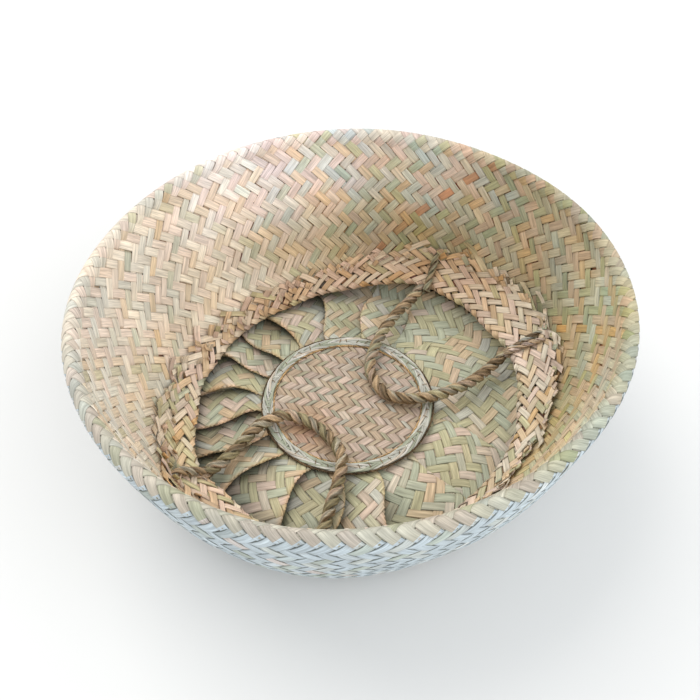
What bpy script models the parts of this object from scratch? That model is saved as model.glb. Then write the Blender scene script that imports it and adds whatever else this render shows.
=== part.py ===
"""Seagrass storage basket with its upper half folded down inside, as separate named pieces.

The basket is a plaited bag. Its outer wall rises from a gathered base to the rim, where the
bag folds over and comes down again as the inner wall. The bag's mouth, with a doubled hem,
then lies just above the base. A disc and a sewn braid close the gathers, and two rope handles
hang from the hem and lie in loops on the base.
+Z is up, the front is -Y, and the origin is the middle of the underside.
"""
import math

import bpy
import bmesh
from mathutils import Matrix, Vector

MM = 0.001
GAP = 0.3 * MM

# Driving dimensions
RIM_RADIUS = 180 * MM
HEIGHT = 130 * MM
WALL_THICKNESS = 3 * MM
HEM_THICKNESS = 4.6 * MM
FOLD_WIDTH = 10.8 * MM
FOLD_FOOT = 121.9 * MM
WALL_TOP = 121 * MM
MOUTH_RADIUS = 121 * MM
MOUTH_HEIGHT = 18.5 * MM
BASE_RADIUS = 128.6 * MM
BASE_THICKNESS = 4.5 * MM
DISC_RADIUS = 57 * MM
DISC_THICKNESS = 2.6 * MM
RING_INNER = 57.4 * MM
RING_OUTER = 65.6 * MM
RING_HEIGHT = 4.4 * MM
RING_CENTRE = Vector((-3 * MM, 0, 0))
STITCHES = 24
THREAD_RADIUS = 0.45 * MM
ROPE_RADIUS = 4.3 * MM
TIE_RADIUS = 2.8 * MM
TIE_HOLE_RADIUS = 3.7 * MM
TIE_FIRST = 4 * MM
TIE_HOLE = 18 * MM
STEPS_ROUND = 48

# The bag is not quite round, and the half folded into it hangs a little to one side
OVAL = 0.022
LEAN = Vector((4 * MM, -3 * MM, 0))
TILT = 6 * MM
PULL = 6 * MM
PULL_ANGLE = math.radians(58)
PULL_WIDTH = math.radians(16)

# Profiles are (radius, height) in millimetres and run from the top down
OUTER_WALL = [(180, 121), (177.5, 103), (172, 79), (164.5, 56), (155.5, 34), (148, 17),
              (140.5, 6.5), (131, 0.5)]
INNER_WALL = [(169.2, 121), (167, 103), (161.5, 80), (154, 58), (146.4, 39.4)]
HEM = [(144.5, 37), (137.5, 29), (130, 23.2), (121, 18.5)]

# The loops that the handles lie in: (x, y, height of the rope's middle), in millimetres
BACK_ROUTE = [(53, 106, 15), (39.5, 88, 15.5), (27, 67.5, 15.7), (18, 45.5, 15.5),
              (14.5, 31.5, 13.9), (17.5, 16.5, 13.1), (25.5, 3, 12.9), (36.5, -2, 13.5),
              (52, -4, 15.5), (71.5, 1.5, 15.7), (92, 12, 15.4), (111, 29, 15)]
FRONT_ROUTE = [(-93, -62, 15), (-81, -46.5, 15.5), (-68, -29.5, 15.7), (-49.5, -20, 15.5),
               (-30.5, -25.5, 13.5), (-19, -35.5, 13.3), (-11, -46.5, 14.7), (-7, -59.5, 15.9),
               (-8, -71, 15.7), (-11, -84, 15.4), (-14.5, -96, 15.2), (-18.5, -112.5, 15)]
ROUTE_STEP = 9 * MM

# Where each end of a handle is tied through the hem, as an angle around the mouth
TIES = {
    "back_handle_left_tie": math.radians(60.5),
    "back_handle_right_tie": math.radians(17),
    "front_handle_left_tie": math.radians(-146),
    "front_handle_right_tie": math.radians(-100),
}

SEAGRASS = {
    "outer_wall": (0.62, 0.62, 0.52, 1),
    "rim_fold": (0.68, 0.63, 0.47, 1),
    "inner_wall": (0.62, 0.52, 0.36, 1),
    "mouth_hem": (0.60, 0.45, 0.31, 1),
    "pleated_base": (0.46, 0.45, 0.30, 1),
    "base_disc": (0.56, 0.42, 0.27, 1),
    "base_ring": (0.58, 0.54, 0.41, 1),
    "sewing_thread": (0.34, 0.27, 0.18, 1),
    "rope": (0.33, 0.29, 0.16, 1),
}
ROUGHNESS = 0.75


def clear_scene():
    for obj in list(bpy.data.objects):
        bpy.data.objects.remove(obj, do_unlink=True)


def collection(name):
    made = bpy.data.collections.new(name)
    bpy.context.scene.collection.children.link(made)
    return made


def material(name):
    made = bpy.data.materials.get(name) or bpy.data.materials.new(name)
    made.use_nodes = True
    shader = made.node_tree.nodes["Principled BSDF"]
    shader.inputs["Base Color"].default_value = SEAGRASS[name]
    shader.inputs["Roughness"].default_value = ROUGHNESS
    shader.inputs["Metallic"].default_value = 0
    return made


def place(name, mesh, group, finish):
    obj = bpy.data.objects.new(name, mesh)
    group.objects.link(obj)
    mesh.materials.clear()
    mesh.materials.append(material(finish))
    return obj


def millimetres(points):
    return [Vector(p) * MM for p in points]


def profile_mesh(name, points, closed):
    """A chain of edges in the XZ plane, from (radius, height) points in metres."""
    mesh = bpy.data.meshes.new(name)
    count = len(points)
    edges = [(i, (i + 1) % count) for i in range(count if closed else count - 1)]
    mesh.from_pydata([(p[0], 0, p[1]) for p in points], edges, [])
    return mesh


def turned(name, points, group, finish, closed=False, thickness=0, outward=False):
    """A turned piece: a closed section, or an open wall given its thickness."""
    obj = place(name, profile_mesh(name, points, closed), group, finish)
    screw = obj.modifiers.new("turn", "SCREW")
    screw.steps = STEPS_ROUND
    screw.render_steps = STEPS_ROUND
    screw.use_merge_vertices = True
    screw.merge_threshold = 0.00005
    if thickness:
        wall = obj.modifiers.new("wall", "SOLIDIFY")
        wall.thickness = thickness
        wall.offset = 1 if outward else -1
    return obj


def apply_modifiers(obj):
    """Replaces the object's data with its evaluated mesh, and welds a curve's loose caps."""
    depsgraph = bpy.context.evaluated_depsgraph_get()
    mesh = bpy.data.meshes.new_from_object(obj.evaluated_get(depsgraph))
    shape = bmesh.new()
    shape.from_mesh(mesh)
    bmesh.ops.remove_doubles(shape, verts=shape.verts, dist=0.00001)
    shape.to_mesh(mesh)
    shape.free()
    name = obj.name
    groups = obj.users_collection
    matrix = obj.matrix_world.copy()
    bpy.data.objects.remove(obj, do_unlink=True)
    made = bpy.data.objects.new(name, mesh)
    made.matrix_world = matrix
    for group in groups:
        group.objects.link(made)
    return made


def oval(point):
    """The bag is a little longer towards its back right than across it."""
    stretch = Matrix.Scale(1 + OVAL, 3, Vector((1, 1, 0)))
    squeeze = Matrix.Scale(1 - OVAL, 3, Vector((1, -1, 0)))
    return squeeze @ (stretch @ point)


def folded_in(point):
    """Leans and tilts the folded half, from nothing at the fold to the most at the mouth."""
    share = (WALL_TOP - point.z) / (WALL_TOP - MOUTH_HEIGHT)
    angle = math.atan2(point.y, point.x)
    pull = PULL * math.exp(-((angle - PULL_ANGLE) / PULL_WIDTH) ** 2) * share ** 3
    outward = Vector((math.cos(angle), math.sin(angle), 0))
    tilt = Vector((0, 0, TILT * math.cos(angle)))
    return oval(point) + (LEAN + tilt) * share + outward * pull


def settle(obj, rule):
    made = apply_modifiers(obj)
    for vertex in made.data.vertices:
        vertex.co = rule(vertex.co)
    made.data.shade_smooth()
    made.data.set_sharp_from_angle(angle=math.radians(35))
    return made


def fold_section():
    """An upside-down U that joins the outer wall's top to the inner wall's."""
    middle = RIM_RADIUS - FOLD_WIDTH / 2
    outer = FOLD_WIDTH / 2
    inner = outer - WALL_THICKNESS
    spring = HEIGHT - outer
    turns = [math.pi * i / 6 for i in range(7)]
    over = [(middle + outer * math.cos(a), spring + outer * math.sin(a)) for a in turns]
    under = [(middle + inner * math.cos(a), spring + inner * math.sin(a)) for a in turns]
    foot = [(middle - outer, FOLD_FOOT), (middle - inner, FOLD_FOOT)]
    start = [(middle + inner, FOLD_FOOT), (middle + outer, FOLD_FOOT)]
    return list(reversed(start + over + foot + under[::-1]))


def walls(group):
    outer = turned("outer_wall", millimetres(OUTER_WALL), group, "outer_wall",
                   thickness=WALL_THICKNESS)
    settle(outer, oval)
    settle(turned("rim_fold", fold_section(), group, "rim_fold", closed=True), oval)
    inner = turned("inner_wall", millimetres(INNER_WALL), group, "inner_wall",
                   thickness=WALL_THICKNESS, outward=True)
    settle(inner, folded_in)


def hem_point(angle, along, lift):
    """A point over the hem: along is the distance from the mouth's edge up the hem's face."""
    points = millimetres(HEM)[::-1]
    left = along
    for low, high in zip(points, points[1:]):
        run = (high - low).length
        if left <= run or high is points[-1]:
            break
        left -= run
    way = (high - low) / run
    spot = low + way * left + Vector((-way.y, way.x)) * lift
    flat = Vector((spot.x * math.cos(angle), spot.x * math.sin(angle), spot.y))
    return folded_in(flat)


def disc(name, radius, low, high, group, finish):
    mesh = bpy.data.meshes.new(name)
    shape = bmesh.new()
    middle = Matrix.Translation((0, 0, (low + high) / 2))
    bmesh.ops.create_cone(shape, cap_ends=True, segments=STEPS_ROUND, radius1=radius,
                          radius2=radius, depth=high - low, matrix=middle)
    shape.to_mesh(mesh)
    shape.free()
    return place(name, mesh, group, finish)


def tube(name, route, radius, group, finish, sides=2):
    curve = bpy.data.curves.new(name, "CURVE")
    curve.dimensions = "3D"
    curve.bevel_depth = radius
    curve.bevel_resolution = sides
    curve.use_fill_caps = True
    spline = curve.splines.new("POLY")
    spline.points.add(len(route) - 1)
    for spot, co in zip(spline.points, route):
        spot.co = (*co, 1)
    return place(name, curve, group, finish)


def through(points, step):
    """Points a step apart on a smooth curve through the route's own points."""
    route = [points[0] * 2 - points[1], *points, points[-1] * 2 - points[-2]]
    fine = []
    for a, b, c, d in zip(route, route[1:], route[2:], route[3:]):
        for i in range(24):
            t = i / 24
            fine.append(0.5 * (2 * b + (c - a) * t + (2 * a - 5 * b + 4 * c - d) * t ** 2
                               + (3 * b - a - 3 * c + d) * t ** 3))
    fine.append(points[-1])
    length = sum((q - p).length for p, q in zip(fine, fine[1:]))
    spacing = length / round(length / step)
    even = [fine[0]]
    walked = 0
    for p, q in zip(fine, fine[1:]):
        walked += (q - p).length
        if walked >= spacing * (len(even) - 0.001):
            even.append(q)
    even[-1] = fine[-1]
    return even


def base(group):
    plate = disc("pleated_base", BASE_RADIUS, 0, BASE_THICKNESS, group, "pleated_base")
    settle(plate, oval)
    low = BASE_THICKNESS + GAP
    patch = disc("base_disc", DISC_RADIUS, low, low + DISC_THICKNESS, group, "base_disc")
    patch.location = RING_CENTRE
    middle = (RING_INNER + RING_OUTER) / 2
    half = (RING_OUTER - RING_INNER) / 2
    turns = [2 * math.pi * i / 10 for i in range(10)]
    section = [(middle + half * math.cos(a), low + RING_HEIGHT * (1 + math.sin(a)) / 2)
               for a in reversed(turns)]
    ring = turned("base_ring", section, group, "base_ring", closed=True)
    ring.location = RING_CENTRE
    sewing_thread(low, group)


def sewing_thread(low, group):
    """One thread that zigzags over the braid, between the disc and the gathers outside it."""
    clear = GAP + THREAD_RADIUS
    disc_top = low + DISC_THICKNESS + clear
    top = low + RING_HEIGHT + clear + 0.1 * MM
    middle = (RING_INNER + RING_OUTER) / 2
    over = [(RING_INNER - 1.6 * MM, disc_top), (RING_INNER - 0.6 * MM, top - 1.2 * MM),
            (middle - 1.5 * MM, top), (middle + 1.5 * MM, top),
            (RING_OUTER + 0.8 * MM, top - 1.6 * MM), (RING_OUTER + 1.4 * MM, low + clear)]
    route = []
    for i in range(STITCHES):
        angle = 2 * math.pi * (i + 0.5) / STITCHES
        way = Vector((math.cos(angle), math.sin(angle), 0))
        crossing = over if i % 2 == 0 else over[::-1]
        route += [RING_CENTRE + way * r + Vector((0, 0, z)) for r, z in crossing]
    thread = tube("sewing_thread", route, THREAD_RADIUS, group, "sewing_thread", sides=0)
    thread.data.splines[0].use_cyclic_u = True


def handles(group):
    for name, route in (("back_handle", BACK_ROUTE), ("front_handle", FRONT_ROUTE)):
        path = through(millimetres(route), ROUTE_STEP)
        tube(name, path, ROPE_RADIUS, group, "rope")


def ties(group, cutters):
    """Thin rope ends that lie over the hem and go down through a hole in it."""
    over = TIE_RADIUS + 2 * GAP
    under = -HEM_THICKNESS - 2 * MM
    hem = apply_modifiers(turned("mouth_hem", millimetres(HEM), group, "mouth_hem",
                                 thickness=HEM_THICKNESS, outward=True))
    for vertex in hem.data.vertices:
        vertex.co = folded_in(vertex.co)
    for name, angle in TIES.items():
        path = [hem_point(angle, TIE_FIRST, over), hem_point(angle, 9 * MM, over),
                hem_point(angle, TIE_HOLE - 5 * MM, over + 0.2 * MM),
                hem_point(angle, TIE_HOLE - 1 * MM, over - 0.4 * MM),
                hem_point(angle, TIE_HOLE, over - 3 * MM), hem_point(angle, TIE_HOLE, under)]
        tube(name, path, TIE_RADIUS, group, "rope")
        top = hem_point(angle, TIE_HOLE, 6 * MM)
        foot = hem_point(angle, TIE_HOLE, under - 2 * MM)
        way = top - foot
        shape = bmesh.new()
        turn = way.to_track_quat("Z", "Y").to_matrix().to_4x4()
        bmesh.ops.create_cone(shape, cap_ends=True, segments=16, radius1=TIE_HOLE_RADIUS,
                              radius2=TIE_HOLE_RADIUS, depth=way.length,
                              matrix=Matrix.Translation((top + foot) / 2) @ turn)
        mesh = bpy.data.meshes.new(name + "_hole")
        shape.to_mesh(mesh)
        shape.free()
        cutter = bpy.data.objects.new(name + "_hole", mesh)
        cutters.objects.link(cutter)
        cutter.hide_render = True
        cutter.display_type = "WIRE"
        cut = hem.modifiers.new(name + "_hole", "BOOLEAN")
        cut.object = cutter
    return hem


def main():
    clear_scene()
    basket = collection("seagrass_basket")
    cutters = collection("cutters")
    walls(basket)
    base(basket)
    handles(basket)
    ties(basket, cutters)


main()
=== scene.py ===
"""A seagrass basket with its upper half folded down inside, plaited strip by strip round its frame."""

import math

import bpy
import numpy as np
from bpy.props import FloatProperty, FloatVectorProperty, IntProperty, PointerProperty
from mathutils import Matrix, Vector


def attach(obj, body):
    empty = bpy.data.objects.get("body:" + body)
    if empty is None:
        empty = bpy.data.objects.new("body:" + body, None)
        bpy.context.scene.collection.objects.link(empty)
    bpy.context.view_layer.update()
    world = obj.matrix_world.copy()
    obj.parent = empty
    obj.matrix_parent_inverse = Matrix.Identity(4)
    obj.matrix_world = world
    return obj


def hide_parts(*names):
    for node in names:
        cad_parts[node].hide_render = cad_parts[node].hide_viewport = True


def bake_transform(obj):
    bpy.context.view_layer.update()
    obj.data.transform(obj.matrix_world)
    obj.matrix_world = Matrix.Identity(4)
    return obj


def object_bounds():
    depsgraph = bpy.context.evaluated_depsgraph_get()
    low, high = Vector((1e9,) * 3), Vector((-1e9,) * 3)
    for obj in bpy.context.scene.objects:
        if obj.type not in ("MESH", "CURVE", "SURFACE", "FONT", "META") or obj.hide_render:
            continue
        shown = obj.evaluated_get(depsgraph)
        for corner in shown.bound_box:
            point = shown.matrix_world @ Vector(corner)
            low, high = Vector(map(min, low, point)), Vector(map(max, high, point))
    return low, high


bl_info = {
    "name": "Seagrass Basket",
    "version": (1, 0, 0),
    "blender": (4, 5, 0),
    "location": "View3D > Sidebar > Basket",
    "description": "Plaits a folded seagrass basket and its rope handles",
    "category": "Add Mesh",
}

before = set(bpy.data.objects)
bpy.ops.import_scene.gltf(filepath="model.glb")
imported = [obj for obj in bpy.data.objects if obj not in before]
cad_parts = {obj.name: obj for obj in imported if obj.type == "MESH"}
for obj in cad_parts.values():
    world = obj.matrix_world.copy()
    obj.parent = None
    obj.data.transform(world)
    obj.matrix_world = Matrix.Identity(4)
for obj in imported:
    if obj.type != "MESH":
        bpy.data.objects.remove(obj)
CAD_LOW, CAD_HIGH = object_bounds()

# Lengths in the plaiting code are in millimetres, as the plaiter measures them.
MM = 0.001
TURN = 2 * math.pi
CAMERA_PLACE = (-0.0030, -0.3312, 0.4357)
CAMERA_AIM = (-0.0030, 0.0, 0.0)
CAMERA_SHIFT = (0.0033, 0.0806)

WALL_TOP = CAD_HIGH.z / MM - 9
MOUTH_HEIGHT = 18.5
# How the bag departs from round: its oval, and how far the mouth is shifted and tilted.
OVAL = 0.022
LEAN = (4.0, -3.0)
TILT = 6.0
# How the two ropes pull the folded wall towards them: angle and spread in degrees, and reach.
PULLS = ((64, 19, 8.0), (115, 30, -4.5), (-155, 12, 4.0), (17, 10, 3.0))

# Radius and height along the wall: up the outside, over the rim and down inside.
WALL_LINE = (
    (129.5, 1.9), (136, 3.4), (141.5, 8), (148, 18.5), (155.3, 35), (163.8, 56.5), (171.2, 79),
    (176.6, 103), (178.9, 118), (178.6, 124.5), (174.6, 128.8), (170.6, 124.5), (170.4, 118),
    (168, 103), (162.4, 80), (155, 58), (147.4, 39.4), (141, 30.5), (132, 23), (123.5, 18.2),
)
RIM_START, RIM_TOP, RIM_END = 9, 10, 11
# The same for the hem: down its upper side, round the mouth and back beneath.
HEM_LINE = ((158, 66), (152.6, 52.5), (146.2, 40.8), (139.5, 32), (131, 25), (124.2, 20.9), (121.2, 18),
            (123.6, 15.6), (131, 18.6))
# The middle of each rope between its hinge's two ends.
BACK_ROUTE = ((53, 106, 15), (39.5, 88, 15.5), (27, 67.5, 15.7), (18, 45.5, 15.5), (14.5, 31.5, 13.9),
              (17.5, 16.5, 13.1), (25.5, 3, 12.9), (36.5, -2, 13.5), (52, -4, 15.5), (71.5, 1.5, 15.7),
              (92, 12, 15.4), (111, 29, 15))
FRONT_ROUTE = ((-93, -62, 15), (-81, -46.5, 15.5), (-68, -29.5, 15.7), (-49.5, -20, 15.5),
               (-30.5, -25.5, 13.5), (-19, -35.5, 13.3), (-11, -46.5, 14.7), (-7, -59.5, 15.9),
               (-8, -71, 15.7), (-11, -84, 15.4), (-14.5, -96, 15.2), (-18.5, -112.5, 15))
# What each handle has beyond its hinge: the slimmer ends that run under the hem.
BACK_FIRST, BACK_LAST = ((66, 122, 24), (60.5, 115.5, 19)), ((119, 35, 20), (126, 39, 27))
FRONT_FIRST, FRONT_LAST = ((-119, -82, 20), (-107, -73, 16.5)), ((-21, -121, 17), (-23, -128, 22))
RING_CENTRE = (-3.0, 0.0)
RING_RADIUS, RING_HALF_WIDTH = 61.5, 3.9
DISC_RADIUS, DISC_HEIGHT, DISC_TURN = 58.6, 6.0, -11.0
STAIN_PLACE, STAIN_AREA = (-34, -26), 380
FRAYED_ENDS, STITCHES = 170, 48

# The base cloth: from its outer to its inner radius, and its length round before it is pleated.
BASE_OUTER, BASE_INNER, BASE_LEAST = 138.5, 53.0, 40.0
CLOTH_ROUND = 980.0
# Where the folded edges of the pleats lie, in degrees round the base, and how much each laps over.
PLEAT_EDGES = np.array((14.0, 45, 62, 84, 106, 128, 143, 159, 176, 191, 207, 223, 245, 265, 286, 314, 344))
PLEAT_LAP = 0.28


# ---------------------------------------------------------------- lines and surfaces

class Line:
    """A smooth line through a few points, read by the length along it."""

    def __init__(self, points, steps=40):
        points = np.array(points, float)
        ends = np.vstack([2 * points[0] - points[1], points, 2 * points[-1] - points[-2]])
        w = np.linspace(0, 1, steps, endpoint=False)[:, None]
        runs = []
        for a, b, c, d in zip(ends, ends[1:], ends[2:], ends[3:]):
            bend = 2 * a - 5 * b + 4 * c - d + w * (3 * (b - c) + d - a)
            runs.append(b + 0.5 * w * (c - a + w * bend))
        self.points = np.vstack([*runs, points[-1:]])
        self.lengths = np.append(0, np.cumsum(np.linalg.norm(np.diff(self.points, axis=0), axis=1)))
        self.knots = self.lengths[::steps]
        self.length = self.lengths[-1]

    def at(self, s):
        return [np.interp(s, self.lengths, column) for column in self.points.T]


WALL = Line(WALL_LINE)
HEM = Line(HEM_LINE)


def smoothstep(x, low, high):
    w = np.clip((x - low) / (high - low), 0, 1)
    return w * w * (3 - 2 * w)


def oval(x, y):
    return x + OVAL * y, y + OVAL * x


def fold_in(radius, theta, z):
    """Leans, tilts and pulls what hangs inside the rim, more towards the mouth."""
    share = np.clip((WALL_TOP - z) / (WALL_TOP - MOUTH_HEIGHT), 0, 1.15)
    reach = radius.copy()
    for angle, spread, amount in PULLS:
        off = (np.degrees(theta) - angle + 180) % 360 - 180
        reach += amount * np.exp(-((off / spread) ** 2)) * share**3
    x, y = oval(reach * np.cos(theta), reach * np.sin(theta))
    return x + LEAN[0] * share, y + LEAN[1] * share, z + TILT * np.cos(theta) * share


def waves(theta, z):
    """How far the folded wall waves outwards."""
    return 1.3 * np.sin(3 * theta + 0.8) + np.sin(5 * theta + z / 28) + 0.6 * np.sin(9 * theta - z / 17)


def wall_surface(turn, s):
    """The whole wall: from the base up outside, over the rim and down inside to the mouth."""
    radius, z = WALL.at(s)
    theta = TURN * turn
    top = WALL.knots[RIM_TOP]
    loose = smoothstep(z, 8, 45) * (1 - 0.6 * smoothstep(z, 105, 129))
    inside = s > top
    radius = radius + loose * np.where(
        inside, waves(theta, z), 1.2 * np.sin(4 * theta + 2.1) + 0.7 * np.sin(7 * theta + z / 30),
    )
    fx, fy, fz = fold_in(radius, theta, z)
    x, y = oval(radius * np.cos(theta), radius * np.sin(theta))
    z = z + 1.1 * np.sin(3 * theta + 2.0) * smoothstep(z, 60, 129)
    fz = fz + 1.1 * np.sin(3 * theta + 2.0) * smoothstep(fz, 60, 129)
    return np.stack([np.where(inside, fx, x), np.where(inside, fy, y), np.where(inside, fz, z)], -1)


def hem_surface(turn, s):
    """The turned-over mouth: from its ragged upper side down round the edge and back beneath."""
    radius, z = HEM.at(s)
    theta = TURN * turn
    near_wall = smoothstep(z, 27, 45)
    radius = radius + (1 - near_wall) * (0.7 * np.sin(11 * theta) + 0.5 * np.sin(17 * theta + 1))
    radius = radius + near_wall * waves(theta, z)
    x, y, z = fold_in(radius, theta, z)
    return np.stack([x, y, z], -1)


def hem_edge(theta):
    """The radius that the hem's ragged outer edge keeps to."""
    return 141 + 7.5 * np.cos(2 * (theta - math.radians(32))) + 2 * np.cos(theta - math.radians(20))


def hem_length_at(radius):
    """The length along the hem where its upper side reaches a radius."""
    radii = HEM.points[: len(HEM.points) // 2, 0]
    return np.interp(-radius, -radii, HEM.lengths[: len(radii)])


def ramp(d, soft):
    return (d + np.sqrt(d * d + soft * soft)) / 2


def pleat_depth(theta):
    """1 on the left, where the pleats are deep, down to 0 on the right."""
    return smoothstep(-np.cos(theta - math.radians(12)), -0.75, 0.35)


def pleat_height(theta):
    """How high the pleats stand."""
    return 2.4 + 7.2 * pleat_depth(theta)


def pleats(turn):
    """The pleat at each turn of the cloth, its start and width in degrees, and 0 to 1 across it."""
    widths = (np.roll(PLEAT_EDGES, -1) - PLEAT_EDGES) % 360
    starts = PLEAT_EDGES - PLEAT_LAP * np.roll(widths, 1)
    cloth = (turn * 360 - starts[0]) % 360
    bounds = np.append(starts - starts[0], 360.0)
    index = np.clip(np.searchsorted(bounds, cloth, side="right") - 1, 0, len(starts) - 1)
    width = bounds[index + 1] - bounds[index]
    return index, starts[0] + bounds[index], width, (cloth - bounds[index]) / width


def turned_under(s):
    """The share of each pleat's cloth that turns under, more towards the ring."""
    return (1 - TURN * np.maximum(BASE_OUTER - s, BASE_LEAST) / CLOTH_ROUND) / 2


def base_surface(turn, s):
    """The pleated cloth, from the foot of the wall in to the ring: each pleat lies over the next."""
    index, start, width, a = pleats(turn)
    radius = np.maximum(BASE_OUTER - s, BASE_LEAST)
    fold = turned_under(s)
    soft = 0.035
    back = ramp(a - (1 - fold), soft) - ramp(a - 1, soft) + ramp(a + fold, soft) - ramp(a, soft) - fold
    lap = fold / (1 - 2 * fold)
    around = width * (a - 2 * back) / (1 - 2 * fold)
    around = around + 2.4 * np.sin(radius / 15 + 6 * TURN * turn) * smoothstep(radius, 58, 75)
    drift = -0.75 * 360 / len(PLEAT_EDGES) * (lap - PLEAT_LAP)
    theta = np.radians(start + around + drift)
    rise, fall = (np.clip(a, 0, 1) / (1 - fold)) ** 1.1, np.clip(1 - a, 0, 1) / fold
    round_off = 0.13
    crest = -round_off * np.logaddexp(-rise / round_off, -fall / round_off)
    crest = np.clip(crest, -0.05, 1)
    body = 0.28 + 0.72 * smoothstep(radius, 58, 84) - 0.6 * smoothstep(radius, 106, 129)
    wander = 0.85 + 0.15 * np.sin(radius / 9 + 2.3 * index)
    height = pleat_height(theta) * body * wander
    sag = 0.8 * np.sin(radius / 13 + index) * np.sin(3.1 * a) * smoothstep(radius, 60, 75)
    # Outside the gathers the cloth turns up and lines the foot of the wall.
    z = 1.15 + height * crest + np.maximum(sag, 0) + 7.5 * smoothstep(radius, 124, 141)
    radius = radius + 1.2 * np.sin(5 * theta + index)
    return np.stack([radius * np.cos(theta), radius * np.sin(theta), z], -1)


# ---------------------------------------------------------------- strips

# A strip's cross-section: across its half width, and above it in leaf thicknesses.
FLAT_SECTION = ((-1, -0.35), (-0.86, 0.5), (0.86, 0.5), (1, -0.35))
WRAPPING_SECTION = ((-1, -0.35), (-0.9, 0.5), (-0.6, 0.5), (-0.3, 0.5), (0, 0.5), (0.3, 0.5), (0.6, 0.5),
                    (0.9, 0.5), (1, -0.35), (0.5, -0.35), (0, -0.35), (-0.5, -0.35))
BENDING_SECTION = ((-1, -0.35), (-0.88, 0.5), (-0.3, 0.5), (0.3, 0.5), (0.88, 0.5), (1, -0.35), (0, -0.35))


def profile(section, thick):
    """A cross-section's places across a strip, and its heights."""
    across, heights = np.array(section).T
    return across, heights * thick


def on_leaf(along, across, which):
    """Where points are on their leaf, for its fibres: along it, across it and which leaf it is."""
    return np.stack(np.broadcast_arrays(along, across, which), -1)


def drape(surface, turn, s, lift):
    """Points on a surface, lifted off it along its outward side."""
    e_turn, e_s = 0.0006, 0.4
    here = surface(turn, s)
    round_it = surface(turn + e_turn, s) - surface(turn - e_turn, s)
    down_it = surface(turn, s + e_s) - surface(turn, s - e_s)
    normal = np.cross(round_it, down_it)
    normal /= np.maximum(np.linalg.norm(normal, axis=-1, keepdims=True), 1e-9)
    return here + normal * lift[..., None]


def over_under(k, sharp=2.2):
    """+1 where a strip lies over its neighbours and -1 where it goes under, in turns of two."""
    return np.tanh(sharp * np.cos(math.pi / 2 * (k - 0.5))) / math.tanh(sharp)


def dive_shade(height):
    """Painted shade: how much red, green and blue a strip loses where it dives under its neighbours."""
    return (1 - smoothstep(height, -0.75, 0.45))[..., None] * np.array([0.5, 0.57, 0.64])


class Pieces:
    """Gathers closed strands of geometry with their colour and grain into one mesh."""

    def __init__(self):
        self.points, self.faces, self.tints, self.leaves = [], [], [], []
        self.count = 0

    def add(self, points, tint, leaf, closed=False):
        """points and leaf are strands x samples x section x 3, and tint can be spread to that."""
        strands, samples, around, _ = points.shape
        index = np.arange(strands * samples * around).reshape(strands, samples, around) + self.count
        following = np.roll(index, -1, axis=2)
        rows = slice(None) if closed else slice(0, samples - 1)
        after = np.roll(index, -1, axis=1)
        after_next = np.roll(following, -1, axis=1)
        sides = np.stack([index, following, after_next, after], -1)[:, rows].reshape(-1, 4)
        caps = [] if closed else [index[:, 0, ::-1], index[:, -1]]
        first = points[0]
        middle = first.reshape(-1, 3).mean(0)
        corners = (first, np.roll(first, -1, 1), np.roll(first, (-1, -1), (0, 1)), np.roll(first, -1, 0))
        a, b, c, d = (corner[rows].reshape(-1, 3) - middle for corner in corners)
        volume = np.einsum("ij,ij->", a, np.cross(b, c)) + np.einsum("ij,ij->", a, np.cross(c, d))
        if volume < 0:
            sides = sides[:, ::-1]
            caps = [cap[:, ::-1] for cap in caps]
        self.points.append(points.reshape(-1, 3))
        self.tints.append(np.broadcast_to(tint, points.shape).reshape(-1, 3))
        self.leaves.append(leaf.reshape(-1, 3))
        self.faces.append(sides)
        self.faces.extend(caps)
        self.count += strands * samples * around

    def build(self, name, material, smooth_angle=32):
        """Makes the mesh, links it in the basket's collection and returns it."""
        mesh = bpy.data.meshes.new(name)
        points = np.vstack(self.points) * MM
        mesh.vertices.add(len(points))
        mesh.vertices.foreach_set("co", points.astype(np.float32).ravel())
        corners = np.concatenate([f.ravel() for f in self.faces])
        totals = np.concatenate([np.full(len(f), f.shape[1]) for f in self.faces])
        mesh.loops.add(len(corners))
        mesh.loops.foreach_set("vertex_index", corners.astype(np.int32))
        mesh.polygons.add(len(totals))
        mesh.polygons.foreach_set("loop_start", np.append(0, np.cumsum(totals)[:-1]).astype(np.int32))
        mesh.update(calc_edges=True)
        tint = mesh.color_attributes.new("tint", "FLOAT_COLOR", "POINT")
        rgba = np.ones((len(points), 4), np.float32)
        rgba[:, :3] = np.clip(np.vstack(self.tints), 0, 1)
        tint.data.foreach_set("color", rgba.ravel())
        leaf = mesh.attributes.new("leaf", "FLOAT_VECTOR", "POINT")
        leaf.data.foreach_set("vector", np.vstack(self.leaves).astype(np.float32).ravel())
        mesh.shade_smooth()
        mesh.set_sharp_from_angle(angle=math.radians(smooth_angle))
        mesh.materials.append(material)
        piece = bpy.data.objects.new(name, mesh)
        basket_collection().objects.link(piece)
        return piece


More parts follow.
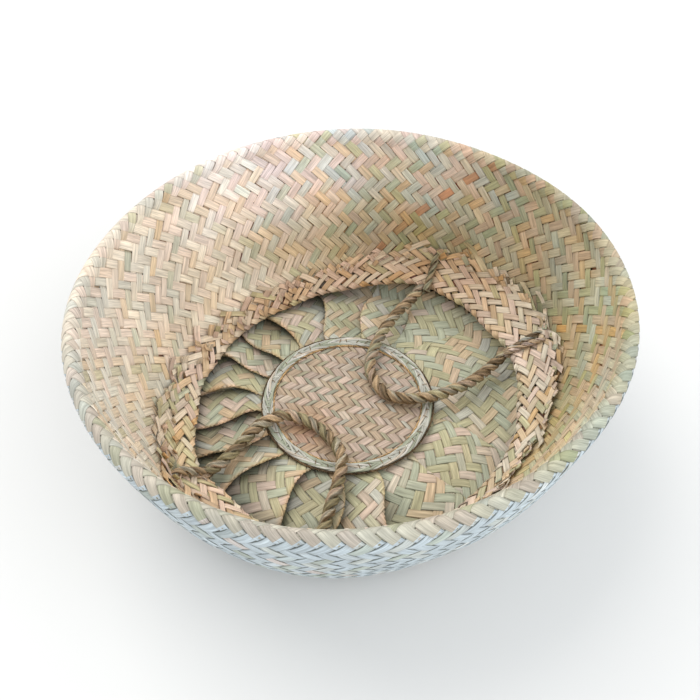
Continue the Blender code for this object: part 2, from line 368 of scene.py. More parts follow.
def plait(pieces, surface, colours, ends, strips, rise, seed, thick=0.6, amp=0.42, fill=0.95, per_step=8,
          section=FLAT_SECTION, shade=None, dip=0.7, loose=1.0):
    """Plaits two families of strips over a surface, two over and two under.

    ends(turn, rng, way) gives each strip's first and last length along the surface, and how far its
    first end curls up. Where a strip goes under its neighbours it is darkened as painted shade.
    """
    across, heights = profile(section, thick)
    for way in (1, -1):
        rng = np.random.default_rng(seed + (way > 0))
        number = np.arange(strips)
        wob = rng.uniform(0, TURN, (strips, 3))
        width = fill + loose * rng.uniform(-0.03, 0.025, strips)
        nudge = loose * rng.uniform(-0.02, 0.02, strips)
        roll = thick * loose * rng.uniform(-0.14, 0.14, (strips, 1))
        colour = colours(rng, strips, way)
        first, last, curl = ends(number / strips, rng, way)
        samples = int(np.ceil((last - first).max() / rise * per_step)) + 1
        w = np.linspace(0, 1, samples)
        t = (first[:, None] + (last - first)[:, None] * w) / rise
        k = 2 * t
        slow = np.sin(t * 0.9 + wob[:, :1]) + 0.6 * np.sin(t * 2.3 + wob[:, 1:2])
        side = (0.25 * (width[:, None] + 0.012 * loose * slow))[..., None] * across
        shift = nudge[:, None] + 0.012 * loose * np.sin(t * 1.7 + wob[:, 2:3])
        u = number[:, None] + way * t
        u_at = (u + shift)[..., None] + side
        t_at = t[..., None] - way * side
        up = amp * way * over_under(k)
        tips = curl[:, None] * np.exp(-(w * (last - first)[:, None] / 4.2) ** 2)
        roll = roll * np.sin(t * 1.3 + wob[:, 1:2])
        lift = (up + tips)[..., None] + heights + roll[..., None] * across
        s_at = t_at * rise
        points = drape(surface, u_at / strips, s_at, lift)
        which = number[:, None, None] * 1.7 + 40.0 * (way > 0)
        leaf = on_leaf((t * rise * 1.35 * MM)[..., None], across, which)
        visit = np.floor((k + (0 if way > 0 else 2) + 1) / 4).astype(int)
        visits = visit.max() - visit.min() + 1
        other = rng.uniform(0, 0.5, (strips, visits, 1)) ** 1.5
        others = colours(rng, strips * visits, way).reshape(strips, visits, 3)
        own = (1 - other) * colour[:, None] + other * others
        own *= 1 + max(loose, 1.8) * rng.uniform(-0.036, 0.03, (strips, visits, 1))
        visit -= visit.min()
        hue = np.take_along_axis(own, visit[..., None], 1)[:, :, None] * np.ones(points.shape)
        # Painted shade where each strip goes under its neighbours, stronger at some crossings than others.
        dive = np.take_along_axis(dip * 1.6 * rng.uniform(0.15, 1, (strips, visits)) ** 2, visit, 1)
        # A ragged end has no neighbour over it, so it gets no painted shade.
        dive *= np.where(curl[:, None] > 0, smoothstep(w * (last - first)[:, None], 3, 14), 1)
        hue *= np.clip(1 - dive[..., None] * dive_shade(way * over_under(k, 1.6)), 0.12, 1)[:, :, None, :]
        if shade:
            hue = shade(hue, u_at / strips, s_at, points)
        pieces.add(points, hue, leaf)


# ---------------------------------------------------------------- ropes and threads

def follow(line, s):
    """Points along a line, its direction there, and what is beside it and above it."""
    here = np.stack(line.at(s), -1)
    tangent = np.gradient(here, axis=0)
    tangent /= np.linalg.norm(tangent, axis=1, keepdims=True)
    side = np.cross([0.0, 0.0, 1.0], tangent)
    side /= np.linalg.norm(side, axis=1, keepdims=True)
    return here, tangent, side, np.cross(tangent, side)


def thread(line, s, width, height):
    """A plain oval thread along a line."""
    here, _, side, up = follow(line, s)
    angle = np.linspace(0, TURN, 6, endpoint=False)[:, None]
    return here[:, None] + side[:, None] * np.cos(angle) * width + up[:, None] * np.sin(angle) * height


def twist(pieces, line, radius, pitch, colours, seed, taper=(0, 0), lobes=3, step=1.25):
    """Two plies wound round each other along a line, each of them a few rolled leaves."""
    rng = np.random.default_rng(seed)
    s = np.linspace(0, line.length, int(line.length / step) + 2)
    here, tangent, side, up = follow(line, s)
    slim = np.ones(len(s))
    if taper[0]:
        slim *= 0.45 + 0.55 * smoothstep(s, 0, taper[0])
    if taper[1]:
        slim *= 0.45 + 0.55 * smoothstep(-s, -line.length, taper[1] - line.length)
    around = 5 * lobes if lobes > 1 else 9
    angle = np.linspace(0, TURN, around, endpoint=False)
    ply = 0.53 * radius
    reach = 0.49 * radius * slim
    for p in range(2):
        turn = TURN * s / pitch + math.pi * p + 0.25 * np.sin(s / 31 + seed)
        swell = 1 + 0.06 * np.sin(s / 6.1 + rng.uniform(0, 6))
        swell += 0.05 * np.sin(s / 13.7 + rng.uniform(0, 6))
        centre = here + side * (reach * np.cos(turn))[:, None] + up * (reach * np.sin(turn))[:, None]
        roll = -turn * 0.8 + p
        leafwise = angle[None] * lobes - (roll * lobes)[:, None]
        groove = 0.5 + 0.5 * np.cos(leafwise)
        size = (slim * swell)[:, None] * (1 + 0.14 * (groove - 0.6))
        outward = side * np.cos(turn)[:, None] + up * np.sin(turn)[:, None]
        beside = np.cross(tangent, outward)
        ring = (
            outward[:, None] * (np.cos(angle) * size * ply)[..., None]
            + beside[:, None] * (np.sin(angle) * size * ply * 1.55)[..., None]
        )
        points = (centre[:, None] + ring)[None]
        which = np.floor((leafwise / TURN) % lobes).astype(int)
        shades = colours(rng, lobes + 1) * rng.uniform(0.72, 1.3, (lobes + 1, 1))
        # Painted shade in the grooves between the rolled leaves.
        hue = shades[which] * (0.3 + 0.7 * smoothstep(groove, 0.02, 0.6))[..., None]
        drift = 1 + 0.13 * np.sin(s / 9.3 + rng.uniform(0, 6))
        drift += 0.08 * np.sin(s / 3.1 + rng.uniform(0, 6))
        hue = (hue * drift[:, None, None])[None]
        share = (leafwise / TURN) % 1 * 2 - 1
        leaf = on_leaf(s[:, None] * MM, 0.7 * share, which * 3.3 + 9.1 * p)[None]
        pieces.add(points, hue, leaf)


# ---------------------------------------------------------------- colours and materials

def linear(colour):
    c = np.array(colour, float)
    return np.where(c <= 0.04045, c / 12.92, ((c + 0.055) / 1.055) ** 2.4)


def srgb(red, green, blue):
    return (red / 255, green / 255, blue / 255)


def dye(name, text, colour):
    return FloatVectorProperty(
        name=name, description=text, default=srgb(*colour), subtype="COLOR_GAMMA", size=3, min=0, max=1
    )


def strip_count(name, text, count):
    return IntProperty(name=name, description=text, default=count, min=20, max=160)


def millimetres(name, text, size):
    return FloatProperty(name=name, description=text, default=size * MM, unit="LENGTH")


class SeagrassColours(bpy.types.PropertyGroup):
    """The tones of the dried leaves."""

    cream: dye("Cream", "Pale leaf of the walls", (244, 229, 208))
    pale: dye("Pale", "Bleached leaf", (246, 241, 230))
    pink: dye("Pink", "Leaf with a rosy cast", (240, 214, 197))
    tan: dye("Tan", "Warm leaf of the hem and the disc", (231, 202, 167))
    ochre: dye("Ochre", "Golden leaf", (224, 184, 130))
    olive: dye("Olive", "Yellow-green leaf", (206, 199, 160))
    grey_green: dye("Grey green", "Cool green leaf", (194, 198, 174))
    grey: dye("Grey", "Silvery leaf", (219, 217, 204))
    # Blue grey stands partly for the cool light on the outside wall: painted light.
    blue_grey: dye("Blue grey", "Cool pale leaf of the outside", (214, 222, 224))
    rust: dye("Rust", "Reddish leaf", (196, 138, 102))
    umber: dye("Umber", "Dark shaded leaf", (128, 104, 74))


class BasketSettings(bpy.types.PropertyGroup):
    """The sizes a plaiter would choose."""

    wall_strips: strip_count("Wall strips", "Strips each way round the wall", 114)
    base_strips: strip_count("Base strips", "Strips each way across the gathered base", 100)
    hem_strips: strip_count("Hem strips", "Strips each way round the hem", 82)
    wall_rise: millimetres("Wall rise", "Height of one over and one under row", 9.2)
    hem_rise: millimetres("Hem rise", "Width of one over and one under row on the hem", 6.8)
    leaf_thickness: millimetres("Leaf thickness", "Thickness of one strip of leaf", 0.6)
    disc_strip: millimetres("Disc strip", "Width of a strip in the disc", 4.8)
    rope_diameter: millimetres("Rope diameter", "Over both plies of a handle", 8.6)
    rope_pitch: millimetres("Rope pitch", "Length of one full twist of a handle", 17.5)


def node(tree, kind, **values):
    made = tree.nodes.new(kind)
    for name, value in values.items():
        setattr(made, name, value)
    return made


def math_node(tree, operation, a, b=0.0):
    made = node(tree, "ShaderNodeMath", operation=operation)
    for socket, value in zip(made.inputs, (a, b)):
        if isinstance(value, (int, float)):
            socket.default_value = value
        else:
            tree.links.new(value, socket)
    return made.outputs[0]


def remap(tree, value, low, high, to_low, to_high, smooth=False):
    made = node(tree, "ShaderNodeMapRange", interpolation_type="SMOOTHSTEP" if smooth else "LINEAR")
    tree.links.new(value, made.inputs["Value"])
    for name, number in (("From Min", low), ("From Max", high), ("To Min", to_low), ("To Max", to_high)):
        made.inputs[name].default_value = number
    return made.outputs["Result"]


def grain(tree, leaf_parts, along, across, detail=3.0):
    """Noise drawn out along the leaf."""
    x, y, z = leaf_parts
    where = node(tree, "ShaderNodeCombineXYZ")
    tree.links.new(math_node(tree, "MULTIPLY", x, along), where.inputs[0])
    tree.links.new(math_node(tree, "MULTIPLY", y, across), where.inputs[1])
    tree.links.new(math_node(tree, "MULTIPLY", z, 5.3), where.inputs[2])
    noise = node(tree, "ShaderNodeTexNoise")
    noise.inputs["Scale"].default_value = 1.0
    noise.inputs["Detail"].default_value = detail
    tree.links.new(where.outputs[0], noise.inputs["Vector"])
    return noise.outputs["Fac"]


def new_material(name):
    material = bpy.data.materials.new(name)
    material.use_nodes = True
    return material, material.node_tree.nodes["Principled BSDF"]


def leaf_material(name, fibre=0.25, streak=0.18, edge=0.55, roughness=0.62, bump=0.55):
    """Dried leaf: each strip's own colour, fibres along it, pale streaks, edges darkened by wear and
    painted shade, and fine ribs.
    """
    material, shader = new_material(name)
    tree = material.node_tree
    link = tree.links.new
    tint = node(tree, "ShaderNodeAttribute", attribute_type="GEOMETRY", attribute_name="tint")
    leaf = node(tree, "ShaderNodeAttribute", attribute_type="GEOMETRY", attribute_name="leaf")
    parts = node(tree, "ShaderNodeSeparateXYZ")
    link(leaf.outputs["Vector"], parts.inputs[0])
    fibres = grain(tree, parts.outputs, 90.0, 5.0)
    streaks = grain(tree, parts.outputs, 38.0, 1.7, detail=2.0)
    worn = remap(tree, fibres, 0.32, 0.68, 1 - fibre, 1 + 0.45 * fibre)
    waxy = remap(tree, streaks, 0.35, 0.7, 1 - streak, 1 + 0.6 * streak)
    # Wear and painted shade: each strip darkens towards its edges, where it meets its neighbours.
    sides = remap(tree, math_node(tree, "ABSOLUTE", parts.outputs[1]), 0.74, 1.0, 1.0, edge, smooth=True)
    strength = math_node(tree, "MULTIPLY", math_node(tree, "MULTIPLY", worn, waxy), sides)
    colour = node(tree, "ShaderNodeVectorMath", operation="SCALE")
    link(tint.outputs["Color"], colour.inputs[0])
    link(strength, colour.inputs["Scale"])
    link(colour.outputs[0], shader.inputs["Base Color"])
    dull = remap(tree, streaks, 0.3, 0.7, roughness + 0.1, roughness - 0.08)
    link(dull, shader.inputs["Roughness"])
    shader.inputs["Specular IOR Level"].default_value = 0.3
    ribs = node(tree, "ShaderNodeBump")
    ribs.inputs["Strength"].default_value = bump
    ribs.inputs["Distance"].default_value = 0.25 * MM
    link(fibres, ribs.inputs["Height"])
    link(ribs.outputs[0], shader.inputs["Normal"])
    return material


def plain_material(name, colour, roughness):
    material, shader = new_material(name)
    shader.inputs["Base Color"].default_value = (*linear(colour), 1)
    shader.inputs["Roughness"].default_value = roughness
    return material


def tone(name):
    return linear(getattr(bpy.context.scene.seagrass_colours, name))


def picker(spread=0.05, even=0.0, depth=1.0, **weights):
    """Picks each strip's tone at random from the named tones, by their weights.

    even draws the tones together, and depth darkens them all.
    """
    names = list(weights)
    table = np.array([tone(n) for n in names])
    odds = np.array([weights[n] for n in names], float)
    table = depth * (table + even * (odds @ table / odds.sum() - table))

    def pick(rng, count, way=1):
        chosen = table[rng.choice(len(names), count, p=odds / odds.sum())]
        return chosen * (1 + rng.uniform(-spread, spread, (count, 1)))

    return pick


# ---------------------------------------------------------------- shades by place

def cast(amount, *colour):
    """What multiplies a hue to give it a cast, fully where amount is 1."""
    return 1 + np.asarray(amount)[..., None] * (np.array(colour) - 1)


def richer(hue, amount):
    """Draws a hue away from the leaves' average hue, at the same brightness."""
    average = np.mean([tone(name) for name in ("cream", "pink", "grey", "olive")], axis=0)
    plain = hue.mean(-1, keepdims=True) / average.mean() * average
    return plain * (hue / plain) ** amount


def wall_shade(hue, turn, s, points):
    """Warm and pale on the left, green and deeper on the right, browner towards the hem. The green and warm
    patches are the leaves' own tones. The deeper tone on the right is painted shade, the brighter back top
    is painted light, and the band along and under the hem's edge is painted shadow.
    """
    theta, z = TURN * turn, points[..., 2]
    right = smoothstep(np.cos(theta - math.radians(30)), -0.4, 0.85)
    low = 1 - smoothstep(z, 30, 105)
    # Painted light brightens the top of the back wall, and the front right is made paler.
    back = smoothstep(np.cos(theta - math.radians(95)), 0.6, 0.98) * smoothstep(z, 50, 105)
    side = smoothstep(np.cos(theta + math.radians(20)), 0.7, 1.0)
    # Painted shadow of the hem along its ragged edge and beneath it.
    wall_hem_shadow = smoothstep(hem_edge(theta) - WALL.at(s)[0], -5, 9)
    warm_patch = np.sin(5 * theta + z / 15) * np.sin(11 * theta - z / 11 + 2)
    patch = 0.5 + 0.5 * np.sin(4 * theta + z / 21) * np.sin(7 * theta - z / 33 + 1)
    hue = richer(hue, (1 + 0.85 * right + 0.1 * back)[..., None])
    hue = hue * cast((0.25 + 0.75 * right) * warm_patch, 1.09, 1.0, 0.90)
    hue = hue * cast(back, 1.42, 1.46, 1.70) * cast(side, 1.20, 1.28, 1.30)
    # The right is greener, the leaves' own tone, and deeper as painted shade; low down the wall is darker
    # and browner.
    hue = hue * cast(right, 0.58, 0.57, 0.46) * cast(1.6 * low * (0.35 + 0.5 * right), 0.88, 0.84, 0.74)
    return hue * ((1 - 0.8 * wall_hem_shadow) * (0.95 + 0.09 * patch))[..., None]


def outer_shade(hue, turn, s, points):
    """The inner face is painted dark and green as shade, as it is only seen in the deep shade below the
    hem, and the whole wall gets a cool blue cast as painted light.
    """
    return hue * cast([1, 0, 0, 1], 0.40, 0.40, 0.30) * np.array([0.98, 1.03, 1.08])


def rim_shade(hue, turn, s, points):
    """Like the wall, and greener in front."""
    front = smoothstep(-np.sin(TURN * turn), -0.2, 0.8)
    return wall_shade(hue, turn, s, points) * cast(front, 0.66, 0.72, 0.72)


def hem_shade(hue, turn, s, points):
    """Brown at the back, cooler on the right, and darkened beneath the mouth's edge as painted shade."""
    theta = TURN * turn
    right = smoothstep(np.cos(theta + math.radians(30)), 0.0, 0.9)
    back = smoothstep(np.sin(theta), 0.2, 0.9)
    # Painted shade on the hem's underside, beneath the mouth's edge.
    under = smoothstep(s, HEM.knots[6], HEM.knots[7])[..., None]
    hue = richer(hue, 1.35) * np.array([1.06, 1.05, 1.0]) * cast(back, 0.79, 0.72, 0.65)
    return hue * cast(right, 0.91, 0.97, 1.02) * (1 - 0.35 * under)


def base_shade(hue, turn, s, points):
    """Painted light and shade: a golden-brown highlight along each pleat's folded edge, and painted shade
    where each pleat comes out from under the last, under each fold and near the hem.
    """
    a, fold = pleats(turn)[3], turned_under(s)
    theta = np.arctan2(points[..., 1], points[..., 0])
    deep = pleat_depth(theta)
    # Painted highlight: golden brown along each pleat's lit folded edge.
    edge = 0.45 * (deep * np.exp(-(((a - (1 - fold)) / 0.06) ** 2)))[..., None]
    # Painted shade where each pleat comes out from under its neighbour.
    reach = 0.31 + 0.1 * np.sin(TURN * turn * 11 + s / 14)
    hollow_shade = np.exp(-((np.maximum(a - 0.02, 0) / reach) ** 1.5))
    # Painted shadow of the hem over the outer part of the base.
    base_hem_shadow = smoothstep(-s, -38, -8)
    # Painted shade where the cloth turns under its fold.
    under = smoothstep(a - (1 - fold), 0.02, 0.1)
    edge_highlight_gold = tone("ochre") * np.array([0.86, 0.74, 0.62])
    hue = 1.02 * richer(hue, 1.3)
    hue = hue * (1 - edge) + edge * edge_highlight_gold * hue.mean(-1, keepdims=True) / 0.45
    hue = hue * cast((0.12 + 0.88 * deep) * hollow_shade, 0.23, 0.24, 0.23)
    return hue * ((1 - 0.5 * base_hem_shadow * deep) * (1 - 0.45 * under))[..., None]


# ---------------------------------------------------------------- helpers for the operators

def whole(first, last, spread=0.0):
    """Every strip runs the same way, within a small spread."""

    def ends(turn, rng, way):
        count = len(turn)
        lasts = last - spread * rng.uniform(0, 1, count)
        return np.full(count, first), lasts, np.zeros(count)

    return ends


def basket_collection():
    found = bpy.data.collections.get("seagrass_basket")
    if found is None:
        found = bpy.data.collections.new("seagrass_basket")
        bpy.context.scene.collection.children.link(found)
    return found


def settle(piece, nodes, body="basket"):
    """Hangs a piece on the body that carries it, and hides the solids that it stands for."""
    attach(piece, body)
    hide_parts(*nodes)


def wall_piece(name, first, last, colours, shade, seed, nodes, slot, material, **how):
    settings = bpy.context.scene.basket_settings
    pieces = Pieces()
    plait(
        pieces, wall_surface, colours, whole(first, last), settings.wall_strips, settings.wall_rise / MM,
        seed, thick=settings.leaf_thickness / MM, shade=shade, **how,
    )
    settle(pieces.build(name, material), nodes)


class BASKET_OT_walls(bpy.types.Operator):
    """Plait the wall: up the outside, over the rim and down the inside"""

    bl_idname = "basket.walls"
    bl_label = "Plait Walls"

    def execute(self, context):
        rim_start, rim_end = WALL.knots[RIM_START], WALL.knots[RIM_END]
        outside = picker(blue_grey=7, grey=2, pale=1, grey_green=0.8, pink=0.3, even=0.35, depth=0.82)
        inside = picker(
            cream=3.6, pink=3.4, pale=1, tan=1.6, grey=2.2, olive=1.2, grey_green=1.4, ochre=0.2,
            rust=0.12, even=0.4, depth=1.0,
        )
        edging = picker(cream=4, pink=2, grey=1, olive=1.2, even=0.3, depth=0.84)
        seed = 11
        wall_piece(
            "plaited_outer_wall", 0.0, rim_start, outside, outer_shade, seed, ["outer_wall"], "outer_plait",
            leaf_material("outer seagrass", edge=0.45), per_step=5, fill=0.98, dip=1.0, loose=0.9,
        )
        wall_piece(
            "plaited_rim_fold", rim_start, rim_end, edging, rim_shade, seed, ["rim_fold"], "outer_plait",
            leaf_material("rim seagrass", edge=0.8), section=WRAPPING_SECTION, dip=0.4, amp=0.3,
        )
        wall_piece(
            "plaited_inner_wall", rim_end, WALL.length, inside, wall_shade, seed, ["inner_wall"],
            "inner_plait", leaf_material("inner seagrass", edge=0.8), per_step=7, fill=0.96, dip=1.0,
            loose=2.8,
        )
        return {"FINISHED"}


def fray(pieces, colours):
    """Short cut ends that stand up along the hem's outer edge."""
    rng = np.random.default_rng(37)
    w = np.linspace(0, 1, 6)
    across, heights = profile(FLAT_SECTION, 0.6)
    for i in range(FRAYED_ENDS):
        theta, way = rng.uniform(0, TURN), rng.choice((-1, 1))
        left = smoothstep(-np.cos(theta), 0.2, 0.9)
        start = hem_length_at(hem_edge(theta)) + rng.uniform(1, 8 + 12 * left)
        length, half, slant = rng.uniform(5, 9), rng.uniform(1.7, 2.7), rng.uniform(0.3, 0.8)
        ahead, beside = length * w[:, None], half * across
        turn = theta / TURN + (way * slant * ahead + 0.7 * beside) / (TURN * 145)
        s = np.maximum(start - slant * ahead + way * 0.7 * beside, 0.5)
        height = rng.uniform(1.0 + 1.5 * left, 3.2 + 3.6 * left)
        lift = 1.2 + height * (ahead / length) ** 1.4 + heights
        points = drape(hem_surface, turn, s, lift)[None]
        # Each cut end is painted darker at its root, as shade, and lighter towards its raised tip.
        hue = colours(rng, 1)[0] * (0.7 + 0.45 * w)[:, None, None] * np.ones(points.shape)
        leaf = on_leaf(ahead * MM, across, 77 + i)[None]
        pieces.add(points, hem_shade(hue, turn[None], s[None], points), leaf)


class BASKET_OT_hem(bpy.types.Operator):
    """Plait the turned-over hem at the mouth, with its ragged cut ends"""

    bl_idname = "basket.hem"
    bl_label = "Plait Hem"

    def execute(self, context):
        settings = bpy.context.scene.basket_settings
        pieces = Pieces()
        leaves = picker(
            tan=4, pink=2.8, cream=2.2, ochre=0.3, olive=0.9, grey_green=0.5, even=0.25, depth=0.82,
        )

        def ends(turn, rng, way):
            around = settings.hem_strips * settings.hem_rise / MM
            ragged = rng.normal(0, 2.6, len(turn))
            first = np.full(len(turn), HEM.knots[2])
            for _ in range(3):
                first = hem_length_at(hem_edge(TURN * (turn + way * first / around)) + ragged)
            first = np.maximum(first, 0.15 * HEM.knots[1])
            return first, np.full(len(turn), HEM.length), rng.uniform(0.2, 3.6, len(turn))

        plait(
            pieces, hem_surface, leaves, ends, settings.hem_strips, settings.hem_rise / MM, 31, thick=0.7,
            amp=0.6, fill=0.86, per_step=6, shade=hem_shade, dip=1.5, loose=4.6,
        )
        fray(pieces, leaves)
        piece = pieces.build("plaited_hem", leaf_material("hem seagrass", edge=0.6))
        settle(piece, ["mouth_hem"])
        return {"FINISHED"}


class BASKET_OT_base(bpy.types.Operator):
    """Plait the base and lay it in pleats round the ring"""

    bl_idname = "basket.base"
    bl_label = "Plait Base"

    def execute(self, context):
        settings = bpy.context.scene.basket_settings
        pieces = Pieces()
        rise = CLOTH_ROUND / settings.base_strips
        leaves = picker(olive=3, grey_green=3.4, tan=1.6, pink=1.2, cream=1.2, grey=1, even=0.3, depth=0.8)
        ends = whole(0.0, BASE_OUTER - BASE_INNER, 3.0)
        plait(
            pieces, base_surface, leaves, ends, settings.base_strips, rise, 51, thick=0.5, amp=0.36,
            per_step=7, section=BENDING_SECTION, shade=base_shade,
        )
        piece = pieces.build("plaited_base", leaf_material("base seagrass", edge=0.68))
        settle(piece, ["pleated_base"])
        return {"FINISHED"}


class BASKET_OT_disc(bpy.types.Operator):
    """Plait the flat disc in the middle of the base"""

    bl_idname = "basket.disc"
    bl_label = "Plait Disc"

    def execute(self, context):
        settings = bpy.context.scene.basket_settings
        width = settings.disc_strip / MM
        pieces = Pieces()
        count = int(DISC_RADIUS / width)
        warm = picker(tan=3, pink=3, ochre=0.5, cream=1, even=0.45, depth=0.59)
        cool = picker(grey_green=2, olive=1, grey=1.5, tan=2, pink=1, even=0.45, depth=0.58)
        across, heights = profile(FLAT_SECTION, 0.55)
        for way in (1, -1):
            rng = np.random.default_rng(71 + way)
            lean = math.radians(DISC_TURN - 45 * way)
            along_dir = np.array([math.cos(lean), math.sin(lean)])
            side_dir = np.array([-math.sin(lean), math.cos(lean)]) * way
            for i in range(-count, count + 1):
                off = i * width
                half = math.sqrt(max(DISC_RADIUS**2 - off**2, 0)) - rng.uniform(0, 0.6)
                if half < width:
                    continue
                s = np.linspace(-half, half, int(8 * half / width) + 2)
                # The rows run from side to side: what is over depends on the height across the disc.
                level = way * (s / width - i)
                up = 0.36 * way * over_under(level + 0.5)
                tones, breadth = (cool, 0.64) if i % 2 else (warm, 1.27)
                pick = tones(rng, 1)[0]
                half_width = width / 2 * (breadth + 0.03 * np.sin(s / 7 + i))
                beside = off + half_width[:, None] * across
                flat = s[:, None, None] * along_dir + beside[..., None] * side_dir + RING_CENTRE
                z = DISC_HEIGHT + up[:, None] + heights
                points = np.concatenate([flat, z[..., None]], -1)[None]
                # Painted shade where each disc strip goes under the next.
                hue = pick * (1 - 0.75 * dive_shade(way * over_under(level + 0.5, 1.2)))
                visit = np.floor((level + 0.5 + (0 if way > 0 else 2) + 1) / 4).astype(int)
                visit -= visit.min()
                hue = hue * rng.uniform(0.92, 1.06, visit.max() + 1)[visit][:, None]
                stain = np.exp(-((points[..., :2] - STAIN_PLACE) ** 2).sum(-1) / STAIN_AREA)
                hue = hue[None, :, None] * cast(stain, 1.0, 0.80, 0.68)
                leaf = on_leaf(s[:, None] * MM, across, i * 1.3 + 60 * (way > 0))[None]
                pieces.add(points, hue, leaf)
        piece = pieces.build("plaited_disc", leaf_material("disc seagrass", edge=0.66))
        settle(piece, ["base_disc"])
        return {"FINISHED"}


def round_centre(radius, angle, z):
    """Points at a radius round the ring's centre."""
    x, y = RING_CENTRE[0] + radius * np.cos(angle), RING_CENTRE[1] + radius * np.sin(angle)
    return np.stack(np.broadcast_arrays(x, y, z), -1)


class BASKET_OT_ring(bpy.types.Operator):
    """Braid the flat ring round the disc and sew it down"""

    bl_idname = "basket.ring"
    bl_label = "Braid Ring"

    def execute(self, context):
        pieces = Pieces()
        rng = np.random.default_rng(91)
        pick = picker(grey=5, pale=1.6, cream=1.6, grey_green=1.2, tan=0.9, spread=0.08, depth=0.7)
        strands, crossings = 9, 5
        angle = np.linspace(0, TURN, 440, endpoint=False)
        turn = np.linspace(0, TURN, 8, endpoint=False)
        for i in range(strands):
            swing = crossings * angle + TURN * i / strands
            wander = 0.3 * np.sin(13 * angle + i) + 0.2 * np.sin(29 * angle + 2 * i)
            radius = RING_RADIUS + (RING_HALF_WIDTH - 0.9) * np.cos(swing) + wander
            z = 7.75 + 0.55 * np.sin(2 * swing) + 0.12 * np.sin(17 * angle + i)
            half = 0.98 + 0.1 * np.sin(11 * angle + 3 * i)
            out, up = half[:, None] * np.cos(turn), 0.62 * np.sin(turn)
            points = round_centre(radius[:, None] + out, angle[:, None], z[:, None] + up)[None]
            hue = pick(rng, 1)[0] * (1 + 0.07 * np.sin(19 * angle + 5 * i))[:, None]
            # Painted shade on each strand's sides, where it meets its neighbours.
            groove = 0.6 + 0.4 * smoothstep(np.abs(np.sin(turn)), 0.1, 0.8)
            hue = (hue[:, None] * groove[:, None])[None]
            leaf = on_leaf(RING_RADIUS * angle[:, None] * MM, 0.8 * np.cos(turn), i * 2.1)[None]
            pieces.add(points, hue, leaf, closed=True)
        material = leaf_material("ring seagrass", fibre=0.3, streak=0.2, bump=0.6)
        piece = pieces.build("braided_ring", material)
        settle(piece, ["base_ring"])

        sewing = Pieces()
        brown = picker(umber=2, rust=1, ochre=1)
        angle = np.linspace(0, TURN, 121)
        # The two brown cords along the ring's edges stand for its shaded sides: painted shade.
        for radius, z in ((66.0, 7.0), (57.2, 7.3)):
            line = Line(round_centre(radius, angle, z), steps=6)
            twist(sewing, line, 0.85, 6.0, brown, int(radius), lobes=1, step=1.5)
        dark = picker(umber=3, grey=1)
        for i in range(STITCHES):
            a = TURN * (i + rng.uniform(-0.2, 0.2)) / STITCHES
            lean = rng.uniform(-0.03, 0.03)
            inner, outer = RING_RADIUS - rng.uniform(1.2, 3.0), RING_RADIUS + rng.uniform(1.2, 3.0)
            stitch = Line([
                round_centre(inner, a, 7.6), round_centre(inner + 0.7, a, 9.0),
                round_centre(outer - 0.7, a + lean, 9.0), round_centre(outer, a + lean, 7.6),
            ], steps=6)
            s = np.linspace(0, stitch.length, 9)
            points = thread(stitch, s, 0.28, 0.22)[None]
            leaf = on_leaf(s[:, None] * MM, np.zeros(points.shape[2]), i)[None]
            sewing.add(points, dark(rng, 1)[0], leaf)
        material = leaf_material("thread", edge=0.9)
        piece = sewing.build("sewn_thread", material, smooth_angle=50)
        settle(piece, ["sewing_thread"])
        return {"FINISHED"}


def rope_picker():
    """Picks the duller tones of the ropes' rolled leaves."""
    tones = picker(olive=2, grey_green=1, grey=1.6, umber=1.2, tan=3, pink=1, ochre=0.4, even=0.2)
    return lambda rng, count: tones(rng, count) * np.array([0.72, 0.66, 0.57])


class BASKET_OT_ropes(bpy.types.Operator):
    """Twist the two rope handles and lay them in the basket"""

    bl_idname = "basket.ropes"
    bl_label = "Twist Handles"

    def execute(self, context):
        settings = bpy.context.scene.basket_settings
        radius, pitch = settings.rope_diameter / MM / 2, settings.rope_pitch / MM
        material = leaf_material("rope seagrass", fibre=0.3, streak=0.2, edge=0.6, bump=0.7, roughness=0.66)
        rope_tones = rope_picker()
        for name, node_name, body, route, first, last in (
            ("twisted_back_handle", "back_handle", "back_rope", BACK_ROUTE, BACK_FIRST, BACK_LAST),
            ("twisted_front_handle", "front_handle", "front_rope", FRONT_ROUTE, FRONT_FIRST, FRONT_LAST),
        ):
            line = Line(first + route + last, steps=24)
            near, far = line.knots[len(first)], line.length - line.knots[-1 - len(last)]
            taper = (0.75 * near, 0.75 * far)
            pieces = Pieces()
            twist(pieces, line, radius, pitch, rope_tones, len(name), taper=taper, lobes=5)
            piece = pieces.build(name, material, smooth_angle=60)
            # The hinge runs between the route's two ends; inward points from it to the side where the
            # rope's middle lies.
            ends = np.array([route[0], route[-1]]) * MM
            inward = np.cross(ends[1] - ends[0], (0, 0, 1))
            inward /= np.linalg.norm(inward)
            middle = ends.mean(0)
            inward *= np.sign(inward @ (np.array(route[len(route) // 2]) * MM - middle))
            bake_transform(piece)
            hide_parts(node_name)
        return {"FINISHED"}


def hem_path(angle, stops):
    """Points over the hem at an angle: stops are (length along the hem, lift, degrees aside)."""
    points = []
    for s, lift, aside in stops:
        turn = np.array([(angle + aside) / 360])
        points.append(drape(hem_surface, turn, np.array([s]), np.array([lift]))[0])
    return Line(points, steps=16)


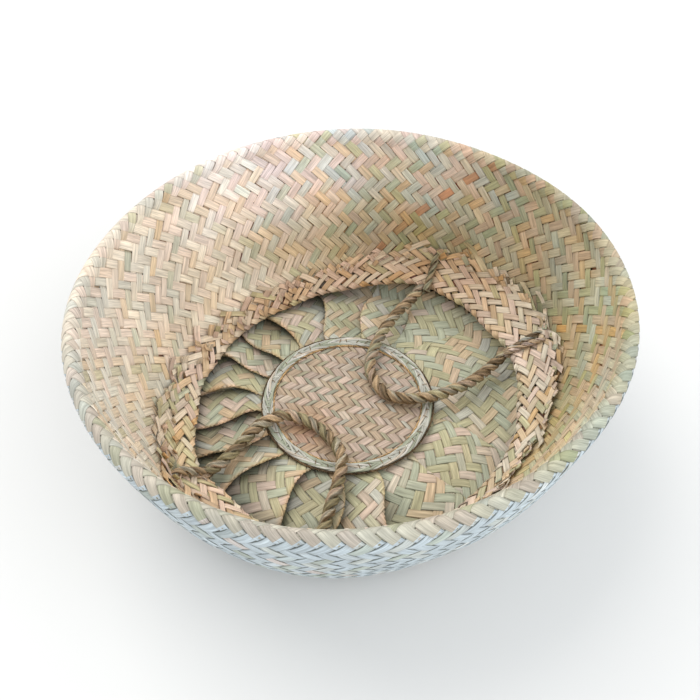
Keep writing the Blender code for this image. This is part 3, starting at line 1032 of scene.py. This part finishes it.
class BASKET_OT_ties(bpy.types.Operator):
    """Tie the ends of the handles through the hem"""

    bl_idname = "basket.ties"
    bl_label = "Tie Handles"

    def execute(self, context):
        material = leaf_material("tie seagrass", fibre=0.3, streak=0.2, edge=0.6, bump=0.7)
        red = picker(rust=1.4, tan=2, pink=1.4, umber=0.6)
        plain = picker(olive=1.6, tan=2, grey=2, umber=1)
        roped = rope_picker()
        edge = HEM.knots[6]
        for name, node_name, angle, sweep, strands, radius, run in (
            ("back_left_tie", "back_handle_left_tie", 62.5, 0.5, ((0.0, roped),), 2.9, 33),
            ("back_right_tie", "back_handle_right_tie", 16.5, -3.2, ((-0.9, red), (0.9, plain)), 2.1, 32),
            ("front_left_tie", "front_handle_left_tie", -148.5, 1.2, ((0.0, roped),), 3.2, 32),
            ("front_right_tie", "front_handle_right_tie", -100.0, 1.2, ((0.0, roped),), 2.3, 25),
        ):
            pieces = Pieces()
            # Each stop is a length along the hem, a lift and a share of the sweep.
            stops = (
                (4, 1.5, 0), (0, radius + 0.8, 0), (-run / 3, radius + 1.2, 0.33),
                (4 - run, radius + 0.8, 0.8), (-run, -0.6, 1),
            )
            for n, (aside, colours) in enumerate(strands):
                line = hem_path(angle, [
                    (edge + s, lift, share * sweep + aside * (0.4 - s / 22)) for s, lift, share in stops
                ])
                twist(
                    pieces, line, radius, 5.5 * radius, lambda rng, count: colours(rng, count) * 0.8,
                    len(name) + n, taper=(3, 9), step=0.9,
                )
            piece = pieces.build(name, material, smooth_angle=60)
            settle(piece, [node_name])
        return {"FINISHED"}


class BASKET_OT_stage(bpy.types.Operator):
    """Set the pale floor, the soft lights and the camera"""

    bl_idname = "basket.stage"
    bl_label = "Set Stage"

    def execute(self, context):
        scene = bpy.context.scene
        scene.view_settings.view_transform = "Standard"
        camera = bpy.data.objects.new("camera", bpy.data.cameras.new("camera"))
        camera.data.lens = camera.data.sensor_width = 36.0
        camera.data.shift_x, camera.data.shift_y = CAMERA_SHIFT
        camera.location = CAMERA_PLACE
        look = Vector(CAMERA_AIM) - Vector(CAMERA_PLACE)
        camera.rotation_euler = look.to_track_quat("-Z", "Y").to_euler()
        camera.data.clip_start = 0.01
        scene.collection.objects.link(camera)
        scene.camera = camera

        world = bpy.data.worlds.new("studio air")
        world.use_nodes = True
        world.node_tree.nodes["Background"].inputs["Color"].default_value = (0.93, 0.965, 1.0, 1)
        world.node_tree.nodes["Background"].inputs["Strength"].default_value = 1.1
        scene.world = world
        for name, place, size, power, colour in (
            ("window light", (-1.7, 1.8, 3.3), 3.0, 92.0, (1.0, 0.98, 0.95)),
            ("fill light", (2.6, -1.7, 2.4), 4.0, 86.0, (0.9, 0.95, 1.0)),
        ):
            light = bpy.data.lights.new(name, "AREA")
            light.size, light.energy, light.color = size, power, colour
            lamp = bpy.data.objects.new(name, light)
            lamp.location = place
            lamp.rotation_euler = (-Vector(place)).to_track_quat("-Z", "Y").to_euler()
            scene.collection.objects.link(lamp)

        bpy.ops.mesh.primitive_plane_add(size=14, location=(0, 0, -0.0006))
        floor = bpy.context.active_object
        floor.name = "studio_floor"
        floor.data.materials.append(plain_material("studio floor", srgb(210, 208, 205), 0.9))
        return {"FINISHED"}


STEPS = (
    BASKET_OT_stage, BASKET_OT_ropes, BASKET_OT_ties, BASKET_OT_walls, BASKET_OT_hem, BASKET_OT_base,
    BASKET_OT_disc, BASKET_OT_ring,
)


class BASKET_PT_panel(bpy.types.Panel):
    """Lists the basket's sizes, tones and steps"""

    bl_idname = "BASKET_PT_panel"
    bl_label = "Seagrass Basket"
    bl_space_type = "VIEW_3D"
    bl_region_type = "UI"
    bl_category = "Basket"

    def draw(self, context):
        for group in (context.scene.basket_settings, context.scene.seagrass_colours):
            for name in group.__annotations__:
                self.layout.prop(group, name)
        for step in STEPS:
            self.layout.operator(step.bl_idname)


CLASSES = (SeagrassColours, BasketSettings, *STEPS, BASKET_PT_panel)


def register():
    for cls in CLASSES:
        bpy.utils.register_class(cls)
    bpy.types.Scene.seagrass_colours = PointerProperty(type=SeagrassColours)
    bpy.types.Scene.basket_settings = PointerProperty(type=BasketSettings)


def unregister():
    del bpy.types.Scene.basket_settings
    del bpy.types.Scene.seagrass_colours
    for cls in reversed(CLASSES):
        bpy.utils.unregister_class(cls)


def main():
    register()
    bpy.ops.basket.stage()
    bpy.ops.basket.ropes()
    bpy.ops.basket.ties()
    bpy.ops.basket.walls()
    bpy.ops.basket.hem()
    bpy.ops.basket.base()
    bpy.ops.basket.disc()
    bpy.ops.basket.ring()


if __name__ == "__main__":
    main()
